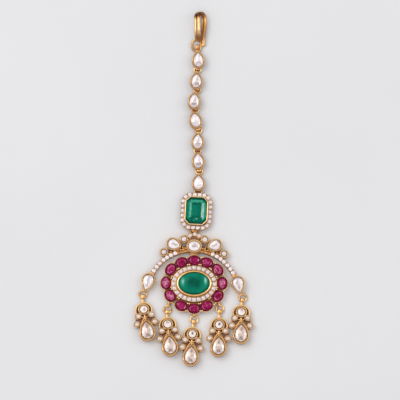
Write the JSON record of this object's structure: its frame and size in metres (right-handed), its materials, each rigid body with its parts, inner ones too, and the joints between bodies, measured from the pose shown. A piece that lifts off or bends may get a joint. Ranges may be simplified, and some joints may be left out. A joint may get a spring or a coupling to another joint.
{
  "type": "maang tikka",
  "caption": "Forehead ornament: a hook and a chain of pear-set clear stones carry an octagonal green crest, an arch, a red and green flower and a fringe of drops.",
  "frame": {"origin": "middle of the whole outline, on the surface that the backs of the settings rest on", "axes": "+Y along the ornament from its fringe to its hook, +X to the right when its face is looked at with the hook up, +Z out of the face"},
  "size_m": [0.0466, 0.1402, 0.0051],
  "materials": {
    "gold": "antique gold plate, polished on the high spots and darkened in the recesses",
    "clear_stone": "clear facetted stone over a silvered back, with a faint pink-grey cast",
    "green_stone": "deep green stone, polished, slightly cloudy inside",
    "red_stone": "pinkish red facetted stone, polished"
  },
  "bodies": {
    "root": {"hook": "gold", "chain_setting_1": "gold", "chain_stone_1": "clear_stone", "chain_setting_2": "gold", "chain_stone_2": "clear_stone", "chain_setting_3": "gold", "chain_stone_3": "clear_stone", "chain_setting_4": "gold", "chain_stone_4": "clear_stone", "chain_setting_5": "gold", "chain_stone_5": "clear_stone", "chain_setting_6": "gold", "chain_stone_6": "clear_stone", "chain_setting_7": "gold", "chain_stone_7": "clear_stone", "crest_setting": "gold", "crest_emerald": "green_stone", "pendant_setting": "gold", "cluster_emerald": "green_stone", "arch_oval_stone": "clear_stone", "arch_pear_stone_left": "clear_stone", "end_pear_stone_left": "clear_stone", "arch_pear_stone_right": "clear_stone", "end_pear_stone_right": "clear_stone", "arch_round_stone_inner_left": "clear_stone", "arch_round_stone_inner_right": "clear_stone", "arch_round_stone_outer_left": "clear_stone", "arch_round_stone_outer_right": "clear_stone", "ruby_01": "red_stone", "ruby_02": "red_stone", "ruby_03": "red_stone", "ruby_04": "red_stone", "ruby_05": "red_stone", "ruby_06": "red_stone", "ruby_07": "red_stone", "ruby_08": "red_stone", "ruby_09": "red_stone", "ruby_10": "red_stone", "ruby_11": "red_stone", "ruby_12": "red_stone", "drop_setting_1": "gold", "drop_round_stone_1": "clear_stone", "drop_pear_stone_1": "clear_stone", "drop_accent_stones_1": "clear_stone", "drop_setting_2": "gold", "drop_round_stone_2": "clear_stone", "drop_pear_stone_2": "clear_stone", "drop_accent_stones_2": "clear_stone", "drop_setting_3": "gold", "drop_round_stone_3": "clear_stone", "drop_pear_stone_3": "clear_stone", "drop_accent_stones_3": "clear_stone", "drop_setting_4": "gold", "drop_round_stone_4": "clear_stone", "drop_pear_stone_4": "clear_stone", "drop_accent_stones_4": "clear_stone", "drop_setting_5": "gold", "drop_round_stone_5": "clear_stone", "drop_pear_stone_5": "clear_stone", "drop_accent_stones_5": "clear_stone"}
  },
  "joints": []
}
